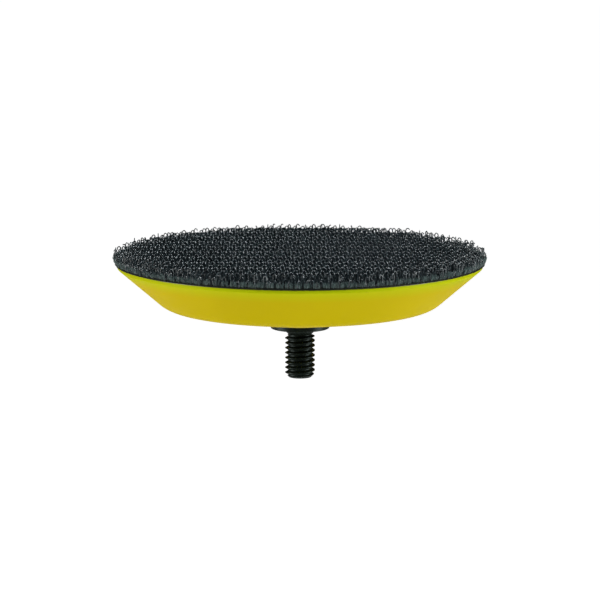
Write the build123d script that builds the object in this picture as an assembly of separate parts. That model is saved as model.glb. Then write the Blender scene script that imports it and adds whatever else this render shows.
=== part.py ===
from build123d import *
from build123d.topology import SkipClean
import math
import os

# A 75 mm hook-and-loop backing pad for a small sander, with an M6 stud.
# Millimetres. +Z points towards the hook face. The origin is on the stud's axis,
# on the flange face that seats against the sander's spindle.

# moulded body
RIM_RADIUS = 36.5
RIM_HEIGHT = 13.27          # top of the body, where the hook cloth is bonded
RIM_LAND = 0.6              # short upright edge at the rim
RIM_EDGE_ROUND = 0.2
FLANK_ANGLE = 40.9          # from the horizontal
BACK_ANGLE = 10.1           # of the shallow cone round the hub
SHOULDER_ROUND = 4.8        # between the flank and the back

# hook facing
FILM_THICKNESS = 0.12
CLOTH_RADIUS = 36.9
CLOTH_THICKNESS = 0.35
HOOK_RADIUS = 37.5          # the outermost hooks lean past the cloth's edge
HOOK_HEIGHT = 2.3           # above the cloth

# flanged bush that seats on the spindle
FLANGE_RADIUS = 5.9
FLANGE_THICKNESS = 0.95
FLANGE_EDGE_ROUND = 0.15
BARREL_RADIUS = 4.4
MOUTH_RADIUS = 3.65         # countersink that the stud's collar sits in
MOUTH_ANGLE = 45

# stiffening plate and washer inside the body
PLATE_RADIUS = 24.0
PLATE_THICKNESS = 1.6
PLATE_HEIGHT = 5.6          # underside of the plate
LOCK_HOLE_COUNT = 8         # the body is moulded through these
LOCK_HOLE_RADIUS = 2.5
LOCK_HOLE_CIRCLE = 17.0
WASHER_RADIUS = 9.0
WASHER_THICKNESS = 1.0

# stud
THREAD_RADIUS = 3.0         # M6 x 1, right-handed
THREAD_PITCH = 1.0
THREAD_DEPTH = 0.6
THREAD_FLANK = 30           # each flank from the square
CREST_FLAT = THREAD_PITCH / 8
STUD_LENGTH = 10.0          # below the flange face
TIP_CHAMFER = 0.75
NECK_RADIUS = 2.68
COLLAR_RADIUS = 3.6         # at the flange face
COLLAR_LENGTH = 1.25        # its cone narrows to the undercut this far below the face
UNDERCUT_RADIUS = 2.35
UNDERCUT_END = 1.35         # below the flange face
THREAD_START = 1.65         # first full crest, below the flange face
SQUARE_NECK = 6.0           # across flats, through the washer and the plate
HEAD_RADIUS = 7.0
HEAD_THICKNESS = 2.0
HEAD_EDGE_ROUND = 0.6
GROOVE_CLEARANCE = 0.06     # the groove is cut from this far outside the crest
GROOVE_PHASE = 0.07         # the groove crosses the +X side this far below each whole pitch
CREST_SECTORS = 12          # the crest is built from this many equal arcs

WASHER_HEIGHT = PLATE_HEIGHT + PLATE_THICKNESS
HEAD_HEIGHT = WASHER_HEIGHT + WASHER_THICKNESS
CLOTH_HEIGHT = RIM_HEIGHT + FILM_THICKNESS
HOOK_BASE = CLOTH_HEIGHT + CLOTH_THICKNESS


def turned(points, arc=360):
    """Solid of revolution about Z of an outline given as (radius, height) points."""
    outline = Plane.XZ * make_face(Polyline(*points, close=True))
    return revolve(outline, axis=Axis.Z, revolution_arc=arc)


def disc(radius, low, thickness):
    """Plain round disc standing on the height low."""
    return Pos(0, 0, low) * Cylinder(
        radius, thickness, align=(Align.CENTER, Align.CENTER, Align.MIN)
    )


def square_bar(width, low, thickness):
    """Square bar on the Z axis standing on the height low."""
    return Pos(0, 0, low) * Box(
        width, width, thickness, align=(Align.CENTER, Align.CENTER, Align.MIN)
    )


def edges_at(solid, radius, height):
    """Round edges of a turned solid at one radius and height."""
    return [
        edge
        for edge in solid.edges().filter_by(GeomType.CIRCLE)
        if abs(edge.radius - radius) < 0.01 and abs(edge.arc_center.Z - height) < 0.01
    ]


def make_stiffener_plate():
    plate = disc(PLATE_RADIUS, PLATE_HEIGHT, PLATE_THICKNESS)
    plate -= square_bar(SQUARE_NECK, PLATE_HEIGHT, PLATE_THICKNESS)
    for hole in range(LOCK_HOLE_COUNT):
        turn = Rot(0, 0, 360 * hole / LOCK_HOLE_COUNT)
        plate -= turn * Pos(LOCK_HOLE_CIRCLE, 0, 0) * disc(
            LOCK_HOLE_RADIUS, PLATE_HEIGHT, PLATE_THICKNESS
        )
    return plate


def make_load_washer():
    washer = disc(WASHER_RADIUS, WASHER_HEIGHT, WASHER_THICKNESS)
    return washer - square_bar(SQUARE_NECK, WASHER_HEIGHT, WASHER_THICKNESS)


def make_flange_bush():
    mouth_depth = (MOUTH_RADIUS - NECK_RADIUS) / math.tan(math.radians(MOUTH_ANGLE))
    bush = turned(
        [
            (MOUTH_RADIUS, 0),
            (FLANGE_RADIUS, 0),
            (FLANGE_RADIUS, FLANGE_THICKNESS),
            (BARREL_RADIUS, FLANGE_THICKNESS),
            (BARREL_RADIUS, PLATE_HEIGHT),
            (NECK_RADIUS, PLATE_HEIGHT),
            (NECK_RADIUS, mouth_depth),
        ]
    )
    return fillet(edges_at(bush, FLANGE_RADIUS, 0), FLANGE_EDGE_ROUND)


def thread_grooves():
    """The thread's helical V groove, one solid for each turn, from past the tip upwards."""
    turns = math.ceil(STUD_LENGTH / THREAD_PITCH) + 1
    slope = math.tan(math.radians(THREAD_FLANK))
    root_half = (THREAD_PITCH - CREST_FLAT) / 2 - THREAD_DEPTH * slope
    mouth_half = root_half + (THREAD_DEPTH + GROOVE_CLEARANCE) * slope
    root = THREAD_RADIUS - THREAD_DEPTH
    mouth = THREAD_RADIUS + GROOVE_CLEARANCE
    grooves = []
    for turn in range(turns):
        low = -GROOVE_PHASE - THREAD_PITCH * (turns + 1 - turn)
        outline = Polyline(
            (root, low - root_half),
            (mouth, low - mouth_half),
            (mouth, low + mouth_half),
            (root, low + root_half),
            close=True,
        )
        path = Helix(THREAD_PITCH, THREAD_PITCH, root, center=(0, 0, low))
        grooves.append(sweep(Plane.XZ * make_face(outline), path=path, is_frenet=True))
    return grooves


def threaded_length():
    """The stud below its undercut. Its crest is equal arcs, each short enough to be a plain patch."""
    tip = -STUD_LENGTH
    outline = [
        (0, -COLLAR_LENGTH),
        (UNDERCUT_RADIUS, -COLLAR_LENGTH),
        (UNDERCUT_RADIUS, -UNDERCUT_END),
        (THREAD_RADIUS, -THREAD_START),
        (THREAD_RADIUS, tip + TIP_CHAMFER),
        (THREAD_RADIUS - TIP_CHAMFER, tip),
        (0, tip),
    ]
    arc = 360 / CREST_SECTORS
    sector = turned(outline, arc).solid()
    grooves = thread_grooves()
    # half a sector's turn keeps the grooves' joints away from the sectors' sides
    sectors = []
    for step in range(CREST_SECTORS):
        placed = Rot(0, 0, arc * (step + 0.5)) * sector
        sectors.append(placed.cut(*grooves))
    return sectors[0].fuse(*sectors[1:], glue=True)


def plain_length():
    """The stud from its undercut up to its square neck."""
    return turned(
        [
            (0, PLATE_HEIGHT),
            (NECK_RADIUS, PLATE_HEIGHT),
            (NECK_RADIUS, COLLAR_RADIUS - NECK_RADIUS),
            (COLLAR_RADIUS, 0),
            (UNDERCUT_RADIUS, -COLLAR_LENGTH),
            (0, -COLLAR_LENGTH),
        ]
    )


def stud_head():
    head = disc(HEAD_RADIUS, HEAD_HEIGHT, HEAD_THICKNESS)
    return fillet(edges_at(head, HEAD_RADIUS, HEAD_HEIGHT + HEAD_THICKNESS), HEAD_EDGE_ROUND)


def make_threaded_stud():
    neck = square_bar(SQUARE_NECK, PLATE_HEIGHT, HEAD_HEIGHT - PLATE_HEIGHT)
    upper = plain_length() + neck + stud_head()
    # without this, neighbouring arcs of the crest are merged
    with SkipClean():
        return threaded_length().fuse(upper.solid())


def body_outline():
    """Outer outline of the body, from the hub out to the rim and back to the axis."""
    flank_slope = math.tan(math.radians(FLANK_ANGLE))
    back_slope = math.tan(math.radians(BACK_ANGLE))
    land_height = RIM_HEIGHT - RIM_LAND
    # the flank line meets the back line at the shoulder
    shoulder = (
        land_height
        - RIM_RADIUS * flank_slope
        - FLANGE_THICKNESS
        + FLANGE_RADIUS * back_slope
    ) / (back_slope - flank_slope)
    shoulder_height = FLANGE_THICKNESS + (shoulder - FLANGE_RADIUS) * back_slope
    return [
        (0, FLANGE_THICKNESS),
        (FLANGE_RADIUS, FLANGE_THICKNESS),
        (shoulder, shoulder_height),
        (RIM_RADIUS, land_height),
        (RIM_RADIUS, RIM_HEIGHT),
        (0, RIM_HEIGHT),
    ]


def make_pad_body(plate):
    outline = body_outline()
    shoulder, shoulder_height = outline[2]
    body = turned(outline)
    body = fillet(edges_at(body, shoulder, shoulder_height), SHOULDER_ROUND)
    body = fillet(edges_at(body, RIM_RADIUS, RIM_HEIGHT - RIM_LAND), RIM_EDGE_ROUND)
    # the body is moulded round the bush's barrel, the plate, the washer and the stud's head
    body -= disc(BARREL_RADIUS, 0, PLATE_HEIGHT)
    body -= plate
    body -= square_bar(SQUARE_NECK, PLATE_HEIGHT, PLATE_THICKNESS)
    body -= disc(WASHER_RADIUS, WASHER_HEIGHT, WASHER_THICKNESS)
    return body - stud_head()


def main():
    plate = make_stiffener_plate()
    pieces = {
        "hook_filaments": disc(HOOK_RADIUS, HOOK_BASE, HOOK_HEIGHT),
        "hook_cloth": disc(CLOTH_RADIUS, CLOTH_HEIGHT, CLOTH_THICKNESS),
        "bond_film": disc(RIM_RADIUS, RIM_HEIGHT, FILM_THICKNESS),
        "pad_body": make_pad_body(plate),
        "stiffener_plate": plate,
        "load_washer": make_load_washer(),
        "flange_bush": make_flange_bush(),
        "threaded_stud": make_threaded_stud(),
    }
    os.makedirs("parts", exist_ok=True)
    for name, piece in pieces.items():
        export_step(piece, f"parts/{name}.step")


main()
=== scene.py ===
import math

import bmesh
import bpy
import numpy as np
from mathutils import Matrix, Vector


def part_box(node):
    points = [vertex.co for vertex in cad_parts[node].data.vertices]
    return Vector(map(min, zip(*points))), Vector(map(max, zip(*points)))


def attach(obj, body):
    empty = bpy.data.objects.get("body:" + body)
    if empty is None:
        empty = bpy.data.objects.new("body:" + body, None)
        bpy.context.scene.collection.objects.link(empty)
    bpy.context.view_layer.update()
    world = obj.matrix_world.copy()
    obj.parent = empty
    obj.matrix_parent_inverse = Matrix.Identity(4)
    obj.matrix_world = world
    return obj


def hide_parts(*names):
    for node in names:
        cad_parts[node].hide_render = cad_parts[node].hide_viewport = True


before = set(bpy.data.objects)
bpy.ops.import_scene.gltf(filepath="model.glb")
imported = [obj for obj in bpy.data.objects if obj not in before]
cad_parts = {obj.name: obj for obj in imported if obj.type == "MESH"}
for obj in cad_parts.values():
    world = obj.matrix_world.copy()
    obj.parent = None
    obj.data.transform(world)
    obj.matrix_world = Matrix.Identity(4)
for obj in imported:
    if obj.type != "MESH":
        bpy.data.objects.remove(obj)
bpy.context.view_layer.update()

# A 75 mm hook-and-loop backing pad, hook face up, with an M6 stud below.
# Everything is in metres; lengths are written as so many millimetres.
MM = 0.001
BODY = "root"

# camera: distance to the middle of the rim, and height above it
VIEW_DISTANCE = 500 * MM
VIEW_ELEVATION = math.radians(8.35)
AIM_BELOW_RIM = 7.65 * MM
SENSOR = 36                     # in millimetres, as Blender wants it
LENS = 150                      # likewise

# hook field
HOOK_PITCH = 1.71 * MM          # between neighbours in a row
ROW_PITCH = 1.80 * MM           # between rows
ROW_SHIFT = 0.387               # of the pitch, from one row to the next
# three hooks stand at each site, one behind another
SITE_HEIGHTS = (0.08 * MM, 0.0 * MM, -0.35 * MM)
SITE_SHIFTS = (0, 0.12, 0)      # of the pitch, how far across each of them stands
HOOK_TURN = math.radians(48)    # the hooks face this far either side of straight across
ROWS_PER_WAVE = 4               # every fourth row stands taller
WAVE_HEIGHT = 0.14 * MM
FILAMENT_RADIUS = 0.115 * MM
FILAMENT_SIDES = 6
CUT_END_SHARE = 0.8             # of that radius, at a filament's cut end
LOOP_HALF_WIDTH = 0.45 * MM     # at the crown
CROWN_RISE = 1.1                # height of the crown's arch, per half width
FOOT_SHARE = 0.55               # of the half width, at the feet
FOOT_SINK = 0.05 * MM           # into the ground cloth
LEG_POINTS = 5
ARCH_POINTS = 10
STUMP_SHARES = (0.50, 0.70)     # of the hook's height, left of its other leg
LONE_LEG_SHARE = 1.03           # of it, where the disc's cut took the first leg

# how much the hooks differ from one another
WIDTH_SCATTER = 0.04            # of the half width
HEIGHT_SCATTER = 0.03 * MM
FOOT_SCATTER = 0.015 * MM
TURN_SCATTER = 0.06             # radians
TILT_SCATTER = 0.014            # sideways, per unit of height
END_SCATTER = 0.35              # radians, at the end of the arch
STRAY_DISORDER = 4.0            # a stray differs this many times as much
STRAY_SHARE = 0.03              # of the hooks are strays
EDGE_STRAY_SHARE = 0.5          # of those near the disc's edge
HOOK_SEED = 75

# edge of the hook field
EDGE_MARGIN = 0.10 * MM         # from the cloth's edge to the outermost foot
EDGE_ZONE = 1.6 * MM            # the hooks this near the edge splay outwards
EDGE_SPLAY = 0.30 * MM
EDGE_DROP = 0.05 * MM           # and stand this much lower
THIN_ZONE = 2.4 * MM            # nearer than this, a site's second and third hooks stand lower
THIN_DROPS = (0.15 * MM, 1.1 * MM)
FIELD_GROUPS = 7                # pieces that the field is split into

# fringe of cut yarn round the cloth
FIBRE_COUNT = 6500
FIBRE_RADIUS = 0.045 * MM
FIBRE_SIDES = 4
FIBRE_TAPER = (1.0, 1.0, 0.9, 0.6)  # of its radius, from foot to tip
FRINGE_WIDTH = 0.9 * MM         # inwards from the cloth's edge
FRINGE_LEAN = 0.35              # outwards, per unit of height
FRINGE_HEIGHTS = (0.60 * MM, 1.20 * MM)
FRINGE_ROOT = 0.75              # of the cloth's thickness, where the fibres start
FIBRE_LEAN_SCATTER = 0.08
FIBRE_SIDE_SCATTER = 0.10
FIBRE_CURL = 0.05 * MM
SLIT_SHARE = 0.24               # of the hook pitch, bare between two bundles of yarn
SLIT_PLACE = 0.29               # of the hook pitch, from the middle of the disc
YARN_SEED = 31

# skin of the moulded body
PAINTED_RIM_LIGHT_DEPTH = 2.8 * MM       # painted light: the skin is painted greener and brighter this far below the rim, for a cool light on the band under it

# ground cloth
YARN_PITCH = 0.62 * MM
YARN_RELIEF = 0.09 * MM
YARN_ROUNDNESS = 0.6
YARN_SCATTER = 0.006 * MM
CLOTH_CELL = 0.21 * MM
CELL_MARGIN = 0.3               # of a cell, kept clear of the cut edge
EDGE_SHADE_WIDTH = 0.35 * MM      # painted shade: the cloth is painted darker and less blue this near its cut edge
CUT_EDGE_WAVE = 0.0012          # of the radius, in and out with each yarn
CUT_EDGE_SCATTER = 0.0006
CLOTH_SEED = 12

# stage
FLOOR_BELOW = 600 * MM
FLOOR_SIZE = 120.0
FLOOR_SQUARES = 8
FLOOR_BOUNCE = 0.20             # how brightly the white floor lights the object
ROOM_LIGHT = 0.03
# name, place, size in metres, power in watts, colour
SOFTBOXES = (
    ("top_softbox", (0.05, 0.42, 0.85), 0.35, 12, (1, 1, 1)),
    ("front_softbox", (0.1, -0.85, 0.5), 0.4, 5.4, (0.82, 1.0, 1.0)),
    ("right_softbox", (0.9, -0.15, -0.2), 0.4, 9.5, (1.0, 0.97, 0.92)),
    ("left_softbox", (-0.9, -0.15, -0.2), 0.4, 9.5, (1.0, 0.94, 0.88)),
)


# ---------------------------------------------------------------- materials

def new_material(name, colour, roughness, specular=0.5, metallic=0.0):
    """A material with one Principled shader. Returns it with its nodes, links and shader."""
    material = bpy.data.materials.new(name)
    material.use_nodes = True
    nodes, links = material.node_tree.nodes, material.node_tree.links
    shader = nodes["Principled BSDF"]
    shader.inputs["Base Color"].default_value = (*colour, 1)
    shader.inputs["Roughness"].default_value = roughness
    shader.inputs["Specular IOR Level"].default_value = specular
    shader.inputs["Metallic"].default_value = metallic
    return material, nodes, links, shader


def object_noise(nodes, links, scale, detail=3.0, stretch=(1, 1, 1)):
    """Noise in the object's own coordinates, per metre; returns its value."""
    place = nodes.new("ShaderNodeTexCoord")
    mapping = nodes.new("ShaderNodeMapping")
    mapping.inputs["Scale"].default_value = stretch
    noise = nodes.new("ShaderNodeTexNoise")
    noise.inputs["Scale"].default_value = scale
    noise.inputs["Detail"].default_value = detail
    links.new(place.outputs["Object"], mapping.inputs["Vector"])
    links.new(mapping.outputs["Vector"], noise.inputs["Vector"])
    return noise.outputs["Fac"]


def ramp(nodes, links, value, stops):
    """Colour ramp over a value; stops are (position, colour)."""
    node = nodes.new("ShaderNodeValToRGB")
    elements = node.color_ramp.elements
    while len(elements) < len(stops):
        elements.new(0.5)
    for element, (position, colour) in zip(elements, stops):
        element.position = position
        element.color = (*colour, 1)
    links.new(value, node.inputs["Fac"])
    return node.outputs["Color"]


def spread(nodes, links, value, low, high):
    """Maps a 0 to 1 value onto low to high."""
    node = nodes.new("ShaderNodeMapRange")
    node.inputs["To Min"].default_value = low
    node.inputs["To Max"].default_value = high
    links.new(value, node.inputs["Value"])
    return node.outputs["Result"]


def piece_tone(nodes):
    """The tone stored for each filament, from 0 to 1."""
    tone = nodes.new("ShaderNodeAttribute")
    tone.attribute_name = "tone"
    return tone.outputs["Fac"]


def add_bump(nodes, links, shader, height, distance, strength=1.0):
    bump = nodes.new("ShaderNodeBump")
    bump.inputs["Distance"].default_value = distance
    bump.inputs["Strength"].default_value = strength
    links.new(height, bump.inputs["Height"])
    links.new(bump.outputs["Normal"], shader.inputs["Normal"])


def hook_nylon():
    """Drawn nylon filament: blue-black, slightly different from hook to hook."""
    material, nodes, links, shader = new_material(
        "hook_nylon", (0.016, 0.020, 0.023), 0.32, specular=0.62
    )
    shader.inputs["Specular Tint"].default_value = (0.86, 0.95, 1.0, 1)
    colour = ramp(
        nodes, links, piece_tone(nodes),
        [(0.0, (0.006, 0.008, 0.010)), (1.0, (0.030, 0.037, 0.042))],
    )
    links.new(colour, shader.inputs["Base Color"])
    grain = object_noise(nodes, links, 9000)
    links.new(spread(nodes, links, grain, 0.24, 0.38), shader.inputs["Roughness"])
    return material


def ground_cloth():
    """Matt black weave, with painted shade that makes it darker and less blue near the cut edge."""
    material, nodes, links, shader = new_material(
        "ground_cloth", (0.02, 0.025, 0.026), 0.75, specular=0.1
    )
    patches = object_noise(nodes, links, 700)
    yarn = ramp(
        nodes, links, patches,
        [(0.3, (0.005, 0.007, 0.008)), (0.7, (0.014, 0.018, 0.020))],
    )
    # painted shade for the cut edge: a darker, less blue colour mixed in near the edge
    painted_edge_shade = ramp(
        nodes, links, patches,
        [(0.3, (0.004, 0.005, 0.003)), (0.7, (0.010, 0.012, 0.006))],
    )
    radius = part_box("hook_cloth")[1].x
    place = nodes.new("ShaderNodeTexCoord")
    distance = nodes.new("ShaderNodeVectorMath")
    distance.operation = "LENGTH"
    edge_shade_share = nodes.new("ShaderNodeMapRange")
    edge_shade_share.inputs["From Min"].default_value = radius - EDGE_SHADE_WIDTH
    edge_shade_share.inputs["From Max"].default_value = radius
    flatten = nodes.new("ShaderNodeVectorMath")
    flatten.operation = "MULTIPLY"
    flatten.inputs[1].default_value = (1, 1, 0)
    colour = nodes.new("ShaderNodeMix")
    colour.data_type = "RGBA"
    links.new(place.outputs["Object"], flatten.inputs[0])
    links.new(flatten.outputs["Vector"], distance.inputs[0])
    links.new(distance.outputs["Value"], edge_shade_share.inputs["Value"])
    links.new(edge_shade_share.outputs["Result"], colour.inputs["Factor"])
    links.new(yarn, colour.inputs["A"])
    links.new(painted_edge_shade, colour.inputs["B"])
    links.new(colour.outputs["Result"], shader.inputs["Base Color"])
    filaments = object_noise(nodes, links, 12000, stretch=(1, 0.25, 1))
    add_bump(nodes, links, shader, filaments, 0.03 * MM, 0.6)
    return material


def cut_yarn():
    """Fine textured nylon yarn, duller and greener than the hooks."""
    material, nodes, links, shader = new_material(
        "cut_yarn", (0.092, 0.126, 0.122), 0.7, specular=0.25
    )
    colour = ramp(
        nodes, links, piece_tone(nodes),
        [(0.0, (0.028, 0.040, 0.039)), (1.0, (0.105, 0.143, 0.140))],
    )
    links.new(colour, shader.inputs["Base Color"])
    crimp = object_noise(nodes, links, 7000)
    links.new(spread(nodes, links, crimp, 0.6, 0.85), shader.inputs["Roughness"])
    return material


def bond_adhesive():
    material, nodes, links, shader = new_material(
        "bond_adhesive", (0.01, 0.01, 0.008), 0.35, specular=0.4
    )
    ripple = object_noise(nodes, links, 900)
    colour = ramp(
        nodes, links, ripple,
        [(0.3, (0.006, 0.006, 0.005)), (0.7, (0.018, 0.018, 0.012))],
    )
    links.new(colour, shader.inputs["Base Color"])
    add_bump(nodes, links, shader, ripple, 0.05 * MM, 0.5)
    return material


def moulded_polyurethane():
    """Satin moulded skin, yellow, with faint flow clouding."""
    material, nodes, links, shader = new_material(
        "moulded_polyurethane", (0.38, 0.30, 0.0006), 0.38, specular=0.008
    )
    shader.inputs["Sheen Weight"].default_value = 0.03
    shader.inputs["Sheen Roughness"].default_value = 0.25
    clouds = object_noise(nodes, links, 55, detail=5)
    skin_colour = ramp(
        nodes, links, clouds,
        [(0.3, (0.37, 0.295, 0.0006)), (0.7, (0.39, 0.31, 0.0006))],
    )
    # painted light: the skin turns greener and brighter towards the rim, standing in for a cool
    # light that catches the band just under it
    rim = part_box("pad_body")[1].z
    place = nodes.new("ShaderNodeTexCoord")
    axes = nodes.new("ShaderNodeSeparateXYZ")
    rim_light_share = nodes.new("ShaderNodeMapRange")
    rim_light_share.inputs["From Min"].default_value = rim - PAINTED_RIM_LIGHT_DEPTH
    rim_light_share.inputs["From Max"].default_value = rim
    painted_rim_light = nodes.new("ShaderNodeMix")
    painted_rim_light.data_type = "RGBA"
    painted_rim_light.inputs["B"].default_value = (0.325, 0.375, 0.003, 1)
    links.new(place.outputs["Object"], axes.inputs["Vector"])
    links.new(axes.outputs["Z"], rim_light_share.inputs["Value"])
    links.new(rim_light_share.outputs["Result"], painted_rim_light.inputs["Factor"])
    links.new(skin_colour, painted_rim_light.inputs["A"])
    links.new(painted_rim_light.outputs["Result"], shader.inputs["Base Color"])
    skin = object_noise(nodes, links, 2600, detail=2)
    links.new(spread(nodes, links, skin, 0.36, 0.50), shader.inputs["Roughness"])
    add_bump(nodes, links, shader, skin, 0.006 * MM, 0.5)
    return material


def black_steel():
    """Black-oxide steel, lightly oiled, with the oxide thin in places."""
    material, nodes, links, shader = new_material(
        "black_steel", (0.005, 0.008, 0.006), 0.40, specular=0.09
    )
    shader.inputs["Specular Tint"].default_value = (0.72, 1.0, 1.0, 1)
    wear = object_noise(nodes, links, 1800, detail=6)
    colour = ramp(
        nodes, links, wear,
        [(0.35, (0.0035, 0.0048, 0.0035)), (0.75, (0.0075, 0.0112, 0.0085))],
    )
    links.new(colour, shader.inputs["Base Color"])
    links.new(spread(nodes, links, wear, 0.32, 0.52), shader.inputs["Roughness"])
    add_bump(nodes, links, shader, wear, 0.01 * MM, 0.6)
    return material


def plain_steel():
    material, nodes, links, shader = new_material(
        "plain_steel", (0.50, 0.50, 0.51), 0.35, metallic=1.0
    )
    brushed = object_noise(nodes, links, 3000, stretch=(1, 0.05, 1))
    colour = ramp(
        nodes, links, brushed,
        [(0.3, (0.42, 0.42, 0.43)), (0.7, (0.58, 0.58, 0.60))],
    )
    links.new(colour, shader.inputs["Base Color"])
    links.new(spread(nodes, links, brushed, 0.25, 0.45), shader.inputs["Roughness"])
    return material


def glass_laminate():
    """Glass-fibre epoxy sheet: pale green-amber with the woven glass showing through."""
    material, nodes, links, shader = new_material(
        "glass_laminate", (0.45, 0.50, 0.30), 0.4
    )
    place = nodes.new("ShaderNodeTexCoord")
    waves = []
    for direction in ("X", "Y"):
        wave = nodes.new("ShaderNodeTexWave")
        wave.bands_direction = direction
        wave.inputs["Scale"].default_value = 320
        links.new(place.outputs["Object"], wave.inputs["Vector"])
        waves.append(wave.outputs["Fac"])
    weave = nodes.new("ShaderNodeMath")
    weave.operation = "MULTIPLY"
    links.new(waves[0], weave.inputs[0])
    links.new(waves[1], weave.inputs[1])
    colour = ramp(
        nodes, links, weave.outputs["Value"],
        [(0.0, (0.36, 0.40, 0.22)), (1.0, (0.55, 0.60, 0.42))],
    )
    links.new(colour, shader.inputs["Base Color"])
    add_bump(nodes, links, shader, weave.outputs["Value"], 0.03 * MM, 0.4)
    return material


# ------------------------------------------------------------------- meshes

def add_piece(name, vertices, faces, material, replaces):
    """Smooth-shaded mesh piece that stands for a CAD node and rides on the part's body."""
    mesh = bpy.data.meshes.new(name)
    mesh.from_pydata(vertices, [], faces)
    mesh.validate()
    mesh.shade_smooth()
    mesh.materials.append(material)
    piece = bpy.data.objects.new(name, mesh)
    bpy.context.scene.collection.objects.link(piece)
    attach(piece, BODY)
    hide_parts(replaces)
    return piece


def tube(line, radii, plane_normal, sides):
    """Vertices and faces of a capped tube along a line that stays across plane_normal."""
    along = np.gradient(line, axis=0)
    along /= np.linalg.norm(along, axis=1)[:, None]
    across = np.cross(along, plane_normal)
    across /= np.linalg.norm(across, axis=1)[:, None]
    other = np.cross(along, across)
    turn = 2 * math.pi * np.arange(sides) / sides
    ring = (
        np.cos(turn)[None, :, None] * across[:, None, :]
        + np.sin(turn)[None, :, None] * other[:, None, :]
    )
    vertices = (line[:, None, :] + radii[:, None, None] * ring).reshape(-1, 3)
    faces = []
    for step in range(len(line) - 1):
        for side in range(sides):
            after = (side + 1) % sides
            a, b = step * sides + side, step * sides + after
            faces.append((a, a + sides, b + sides, b))
    faces.append(tuple(range(sides)))
    last = (len(line) - 1) * sides
    faces.append(tuple(last + side for side in reversed(range(sides))))
    return vertices, faces


def append_tube(vertices, faces, tones, tone, points, quads):
    """Adds one tube, all of one tone, to the lists of a piece's mesh."""
    start = len(vertices)
    vertices.extend(points.tolist())
    faces.extend(tuple(start + i for i in quad) for quad in quads)
    tones.extend([tone] * len(points))


def set_tones(piece, tones):
    """Stores each vertex's tone, from 0 to 1, for its material."""
    attribute = piece.data.attributes.new("tone", "FLOAT", "POINT")
    attribute.data.foreach_set("value", tones)


def leg_reach(share):
    """How far out a leg is, as a share of the crown's half width, a share of the way up it."""
    return FOOT_SHARE + (1 - FOOT_SHARE) * np.sin(share * math.pi / 2)


def hook_profile(half_width, height, end_angle):
    """A cut loop in its own plane: up one leg, over the crown, and down to the cut end."""
    crown = half_width * CROWN_RISE
    shoulder = height - crown
    share = np.linspace(0, 1, LEG_POINTS)[:-1]
    leg = np.stack([-half_width * leg_reach(share), shoulder * share], axis=1)
    angles = np.linspace(math.pi, end_angle, ARCH_POINTS)
    arch = np.stack([half_width * np.cos(angles), shoulder + crown * np.sin(angles)], axis=1)
    return np.concatenate([leg, arch])


def stump_profile(half_width, height):
    """What is left of the loop's other leg below the cut."""
    share = np.linspace(0, 1, LEG_POINTS)
    return np.stack([half_width * leg_reach(share), height * share], axis=1)


def place_profile(profile, foot, facing, tilt_across, tilt_back):
    """Stands a flat profile on its foot: turned to face one way, then leaned."""
    height = profile[:, 1]
    across = profile[:, 0] * math.cos(facing) + tilt_across * height
    back = profile[:, 0] * math.sin(facing) + tilt_back * height
    return np.stack([across, back, height], axis=1) + foot


def splay_outwards(line, edge):
    """Leans a filament outwards and lowers it, the more the nearer it is to the disc's edge."""
    foot_radius = math.hypot(*line[0, :2])
    nearness = min(max((foot_radius - edge + EDGE_ZONE) / EDGE_ZONE, 0), 1) ** 2
    outwards = line[0, :2] / max(foot_radius, MM)
    rise = np.clip((line[:, 2] - line[0, 2]) / MM, 0, 1)
    line[:, :2] += outwards * (EDGE_SPLAY * nearness * np.sin(rise * math.pi / 2))[:, None]
    line[:, 2] -= EDGE_DROP * nearness * rise
    return line


def hook_sites(radius):
    """(row, place at its site, x, y) of every hook of the field, front to back."""
    rows = int(radius / ROW_PITCH) + 1
    columns = int(radius / HOOK_PITCH) + 1
    for row in range(-rows, rows + 1):
        shift = (ROW_SHIFT * row) % 1
        for place in range(len(SITE_HEIGHTS)):
            y = (row + place / len(SITE_HEIGHTS)) * ROW_PITCH
            for column in range(-columns - 1, columns + 1):
                x = (column + shift + SITE_SHIFTS[place]) * HOOK_PITCH
                if math.hypot(x, y) < radius + LOOP_HALF_WIDTH:
                    yield row, place, x, y


def build_hook(random, row, place, x, y, base, height, edge):
    """Centrelines of one hook and of its stump, and the way that their plane faces."""
    wave = WAVE_HEIGHT * math.cos(2 * math.pi * row / ROWS_PER_WAVE)
    inset = edge - math.hypot(x, y)
    stray_share = EDGE_STRAY_SHARE if inset < EDGE_ZONE else STRAY_SHARE
    disorder = STRAY_DISORDER if random.uniform() < stray_share else 1.0
    tall = height + SITE_HEIGHTS[place] + wave + disorder * random.normal(0, HEIGHT_SCATTER)
    if place and inset < THIN_ZONE:
        tall -= random.uniform(*THIN_DROPS)
    half_width = LOOP_HALF_WIDTH * random.normal(1, WIDTH_SCATTER)
    foot = np.array([x, y, base]) + np.append(random.normal(0, FOOT_SCATTER, 2), 0)
    turned = (row // 2 + place) % 2
    way = 1 if turned else -1
    facing = way * HOOK_TURN + disorder * random.normal(0, TURN_SCATTER) + turned * math.pi
    tilt_across, tilt_back = disorder * random.normal(0, TILT_SCATTER, 2)
    hook = hook_profile(half_width, tall, disorder * random.uniform(-END_SCATTER, END_SCATTER))
    stump_share = random.uniform(*STUMP_SHARES)
    stance = (foot, facing, tilt_across, tilt_back)
    hook = place_profile(hook, *stance)
    if math.hypot(*hook[0, :2]) > edge:
        # cutting the disc took the loop's first leg, and left the other at its full height
        stump_share = LONE_LEG_SHARE
    stump = place_profile(stump_profile(half_width, tall * stump_share), *stance)
    plane_normal = np.array([-math.sin(facing), math.cos(facing), 0])
    return hook, stump, plane_normal


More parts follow.
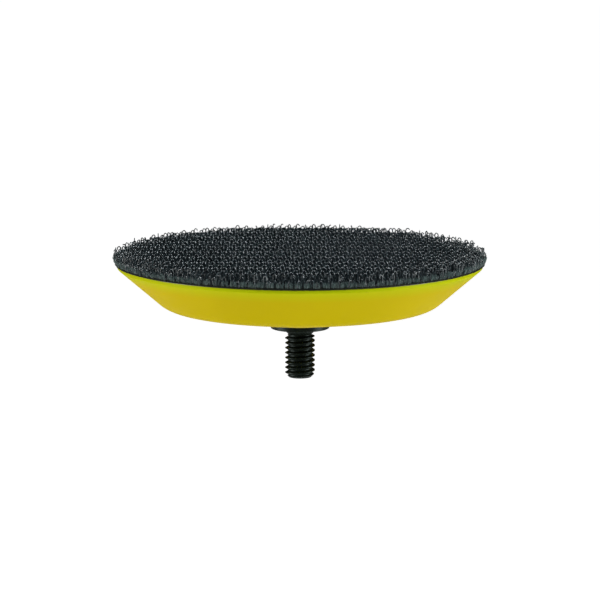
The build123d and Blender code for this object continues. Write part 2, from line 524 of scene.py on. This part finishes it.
def make_hook_field(material):
    """Every hook of the field, shared out front to back into a few pieces."""
    low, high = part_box("hook_filaments")
    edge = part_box("hook_cloth")[1].x - EDGE_MARGIN
    base = low.z - FOOT_SINK
    height = high.z - low.z
    random = np.random.default_rng(HOOK_SEED)
    sites = list(hook_sites(edge))
    group_size = math.ceil(len(sites) / FIELD_GROUPS)
    for group in range(FIELD_GROUPS):
        vertices, faces, tones = [], [], []
        for site in sites[group * group_size:(group + 1) * group_size]:
            hook, stump, plane_normal = build_hook(random, *site, base, height, edge)
            tone = random.uniform()
            for line in (hook, stump):
                # the disc is cut out of a wide tape, so a leg past its edge is gone
                if math.hypot(*line[0, :2]) > edge:
                    continue
                line = splay_outwards(line, edge)
                radii = np.full(len(line), FILAMENT_RADIUS)
                radii[-1] *= CUT_END_SHARE
                points, quads = tube(line, radii, plane_normal, FILAMENT_SIDES)
                append_tube(vertices, faces, tones, tone, points, quads)
        piece = add_piece(
            f"hook_rows_{group + 1}", vertices, faces, material, "hook_filaments"
        )
        set_tones(piece, tones)


def in_slit(angle, radius):
    """Whether a place on the rim is in a bare slit between two bundles of yarn."""
    # the slits are evenly spaced across the front and back, and along the two sides
    front_or_back = abs(math.sin(angle)) > 0.5
    along = radius * (math.cos(angle) if front_or_back else math.sin(angle))
    phase = (along / HOOK_PITCH - SLIT_PLACE + 0.5) % 1 - 0.5
    return abs(phase) < SLIT_SHARE / 2


def make_fringe(material):
    """The cut ends of the ground yarn, standing up and leaning out all round the cloth."""
    low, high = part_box("hook_cloth")
    random = np.random.default_rng(YARN_SEED)
    vertices, faces, tones = [], [], []
    share = np.linspace(0, 1, len(FIBRE_TAPER))
    radii = FIBRE_RADIUS * np.array(FIBRE_TAPER)
    root = low.z + FRINGE_ROOT * (high.z - low.z)
    for _ in range(FIBRE_COUNT):
        angle = random.uniform(0, 2 * math.pi)
        inset = FRINGE_WIDTH * random.uniform() ** 1.5
        tall = random.uniform(*FRINGE_HEIGHTS)
        lean = FRINGE_LEAN * (1 - inset / FRINGE_WIDTH) + random.normal(0, FIBRE_LEAN_SCATTER)
        sideways = random.normal(0, FIBRE_SIDE_SCATTER)
        curl = random.normal(0, FIBRE_CURL, 2)
        tone = random.uniform()
        foot = high.x - FIBRE_RADIUS - inset
        if in_slit(angle, foot):
            continue
        outwards = np.array([math.cos(angle), math.sin(angle)])
        across = np.array([-outwards[1], outwards[0]])
        bow = np.sin(share * math.pi)[:, None] * curl
        reach = foot + lean * tall * np.sin(share * math.pi / 2)
        flat = reach[:, None] * outwards + (sideways * tall * share)[:, None] * across + bow
        line = np.column_stack([flat, root + tall * share])
        points, quads = tube(line, radii, np.append(across, 0), FIBRE_SIDES)
        append_tube(vertices, faces, tones, tone, points, quads)
    fringe = add_piece(
        "yarn_fringe", vertices, faces, material, "hook_cloth"
    )
    set_tones(fringe, tones)
    return fringe


def weave_height(x, y):
    """Top of a plain weave, from 0 to 1, at a point of the cloth."""
    across, along = x / YARN_PITCH, y / YARN_PITCH
    warp = np.abs(np.cos(math.pi * across)) ** YARN_ROUNDNESS
    weft = np.abs(np.cos(math.pi * along)) ** YARN_ROUNDNESS
    over = np.cos(math.pi * np.round(across)) * np.cos(math.pi * along)
    under = np.cos(math.pi * np.round(along)) * np.cos(math.pi * across)
    return np.maximum(warp * (0.5 + 0.5 * over), weft * (0.5 - 0.5 * under))


def weave_top(mesh, radius, height, random):
    """Fills a mesh with square cells that lie inside the disc, raised by the weave."""
    half = int(radius / CLOTH_CELL)
    steps = np.arange(-half, half + 1) * CLOTH_CELL
    x, y = np.meshgrid(steps, steps, indexing="ij")
    inside = np.hypot(x, y) < radius - CELL_MARGIN * CLOTH_CELL
    cell_inside = inside[:-1, :-1] & inside[1:, :-1] & inside[:-1, 1:] & inside[1:, 1:]
    used = np.zeros_like(inside)
    for i, j in zip(*np.nonzero(cell_inside)):
        used[i:i + 2, j:j + 2] = True
    top = height + YARN_RELIEF * weave_height(x, y) + random.normal(0, YARN_SCATTER, x.shape)
    corner = {}
    for i, j in zip(*np.nonzero(used)):
        corner[i, j] = mesh.verts.new((x[i, j], y[i, j], top[i, j]))
    for i, j in zip(*np.nonzero(cell_inside)):
        mesh.faces.new(
            (corner[i, j], corner[i + 1, j], corner[i + 1, j + 1], corner[i, j + 1])
        )


def close_below(mesh, radius, low, high, random):
    """Draws the outline out to the disc's cut edge, then closes the mesh down its side and below."""
    outline = [edge for edge in mesh.edges if edge.is_boundary]
    for vertex in [vertex for vertex in mesh.verts if vertex.is_boundary]:
        flat = Vector((vertex.co.x, vertex.co.y, 0))
        wave = CUT_EDGE_WAVE * math.sin(flat.x / YARN_PITCH * 2 * math.pi)
        fray = 1 + wave + random.normal(0, CUT_EDGE_SCATTER)
        vertex.co.xy = (flat.normalized() * radius * fray).xy
        vertex.co.z = high
    made = bmesh.ops.extrude_edge_only(mesh, edges=outline)["geom"]
    for item in made:
        if isinstance(item, bmesh.types.BMVert):
            item.co.z = low
    lower_edges = [
        item for item in made if isinstance(item, bmesh.types.BMEdge) and item.is_boundary
    ]
    bmesh.ops.contextual_create(mesh, geom=lower_edges)
    bmesh.ops.recalc_face_normals(mesh, faces=mesh.faces)


def make_cloth(material, fringe):
    """The woven ground: a closed disc with the weave's relief and a frayed, cut edge."""
    low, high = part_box("hook_cloth")
    radius = high.x
    random = np.random.default_rng(CLOTH_SEED)
    mesh = bmesh.new()
    weave_top(mesh, radius, high.z, random)
    close_below(mesh, radius, low.z, high.z, random)
    data = bpy.data.meshes.new("ground_cloth")
    mesh.to_mesh(data)
    mesh.free()
    data.shade_smooth()
    data.materials.append(material)
    cloth = bpy.data.objects.new("ground_cloth", data)
    bpy.context.scene.collection.objects.link(cloth)
    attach(cloth, BODY)
    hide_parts("hook_cloth")


# -------------------------------------------------------------------- stage

def make_camera(rim_height):
    """Looks a little down on the hooks, from the front."""
    data = bpy.data.cameras.new("camera")
    data.sensor_width = SENSOR
    data.lens = LENS
    camera = bpy.data.objects.new("camera", data)
    bpy.context.scene.collection.objects.link(camera)
    camera.location = (
        0,
        -VIEW_DISTANCE * math.cos(VIEW_ELEVATION),
        rim_height + VIEW_DISTANCE * math.sin(VIEW_ELEVATION),
    )
    aim = Vector((0, 0, rim_height - AIM_BELOW_RIM))
    camera.rotation_euler = (aim - camera.location).to_track_quat("-Z", "Y").to_euler()
    data.clip_end = FLOOR_SIZE
    bpy.context.scene.camera = camera


def add_softbox(name, place, size, power, colour):
    """A round area light that points at the object."""
    data = bpy.data.lights.new(name, "AREA")
    data.shape = "DISK"
    data.size = size
    data.energy = power
    data.color = colour
    light = bpy.data.objects.new(name, data)
    bpy.context.scene.collection.objects.link(light)
    light.location = place
    light.rotation_euler = (-Vector(place)).to_track_quat("-Z", "Y").to_euler()


def make_lights():
    """A white room and four softboxes."""
    world = bpy.data.worlds.new("studio")
    world.use_nodes = True
    nodes, links = world.node_tree.nodes, world.node_tree.links
    background = nodes["Background"]
    background.inputs["Color"].default_value = (1, 1, 1, 1)
    # the backdrop is white to look at, but lights the object only dimly
    path = nodes.new("ShaderNodeLightPath")
    links.new(
        spread(nodes, links, path.outputs["Is Camera Ray"], ROOM_LIGHT, 1.0),
        background.inputs["Strength"],
    )
    bpy.context.scene.world = world
    for softbox in SOFTBOXES:
        add_softbox(*softbox)


def make_floor():
    """A plain white floor, far below, that lights the object only dimly."""
    material, nodes, links, shader = new_material("pale_floor", (0.8, 0.8, 0.8), 0.9, specular=0.0)
    shader.inputs["Emission Color"].default_value = (1, 1, 1, 1)
    path = nodes.new("ShaderNodeLightPath")
    links.new(
        spread(nodes, links, path.outputs["Is Camera Ray"], FLOOR_BOUNCE, 1.0),
        shader.inputs["Emission Strength"],
    )
    mesh = bmesh.new()
    bmesh.ops.create_grid(
        mesh, x_segments=FLOOR_SQUARES, y_segments=FLOOR_SQUARES, size=FLOOR_SIZE / 2
    )
    data = bpy.data.meshes.new("floor")
    mesh.to_mesh(data)
    mesh.free()
    data.materials.append(material)
    floor = bpy.data.objects.new("floor", data)
    floor.location.z = -FLOOR_BELOW
    bpy.context.scene.collection.objects.link(floor)


def paint_node(node, material):
    """Gives a CAD node's object its own finish."""
    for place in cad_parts[node].material_slots:
        place.material = material


# --------------------------------------------------------------------- main

steel = black_steel()
paint_node("pad_body", moulded_polyurethane())
paint_node("bond_film", bond_adhesive())
paint_node("flange_bush", steel)
paint_node("threaded_stud", steel)
paint_node("load_washer", plain_steel())
paint_node("stiffener_plate", glass_laminate())
nylon = hook_nylon()
weave = ground_cloth()
paint_node("hook_filaments", nylon)
paint_node("hook_cloth", weave)
make_hook_field(nylon)
make_cloth(weave, make_fringe(cut_yarn()))

make_camera(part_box("pad_body")[1].z)
make_lights()
make_floor()
bpy.context.scene.view_settings.view_transform = "Standard"
